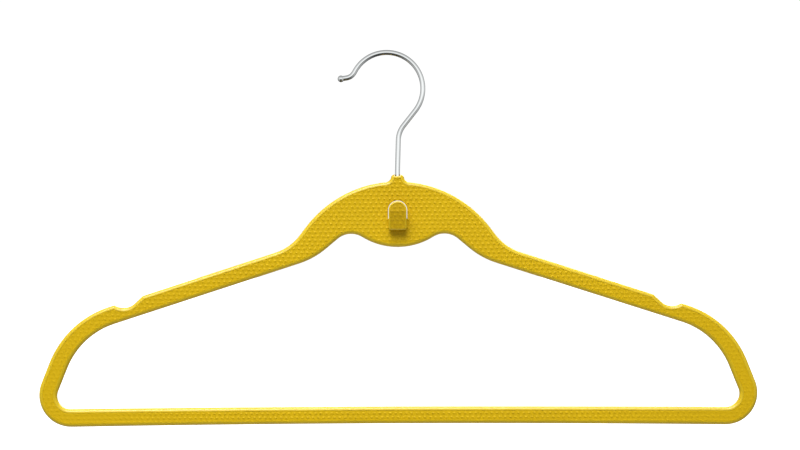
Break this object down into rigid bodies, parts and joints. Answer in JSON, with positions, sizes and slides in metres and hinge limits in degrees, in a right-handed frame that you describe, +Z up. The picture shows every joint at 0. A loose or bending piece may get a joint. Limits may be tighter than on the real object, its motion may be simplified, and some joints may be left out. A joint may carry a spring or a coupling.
{
  "type": "clothes hanger",
  "caption": "Slim one-piece moulded clothes hanger with textured faces, trouser bar, strap notches, a small accessory hook and a swivelling wire hook.",
  "frame": {"origin": "rail seat: the top of the hook's inner crown, where the hanging rail touches the wire", "axes": "+Z up, +X to the right along the hanger seen from its front, front faces -Y; the hook opens towards -X"},
  "size_m": [0.4448, 0.0131, 0.2329],
  "materials": {
    "moulded_abs": "satin, yellow",
    "grip_skin": "matt woven texture, yellow",
    "chromed_wire": "polished",
    "bearing_steel": "turned and plated",
    "acetal": "natural white"
  },
  "bodies": {
    "hook": {"hook_wire": "chromed_wire", "hook_ball_tip": "chromed_wire"},
    "hanger": {"moulded_body": "moulded_abs", "front_grip_skin": "grip_skin", "rear_grip_skin": "grip_skin", "accessory_hook_grip": "grip_skin", "swivel_sleeve": "bearing_steel", "sleeve_cap": "bearing_steel", "thrust_washer": "acetal"}
  },
  "joints": [
    {"name": "hook_swivel", "type": "hinge", "parent": "hook", "child": "hanger", "pos_m": [0.0065, 0, -0.078], "axis": [0, 0, 1], "continuous": true}
  ]
}
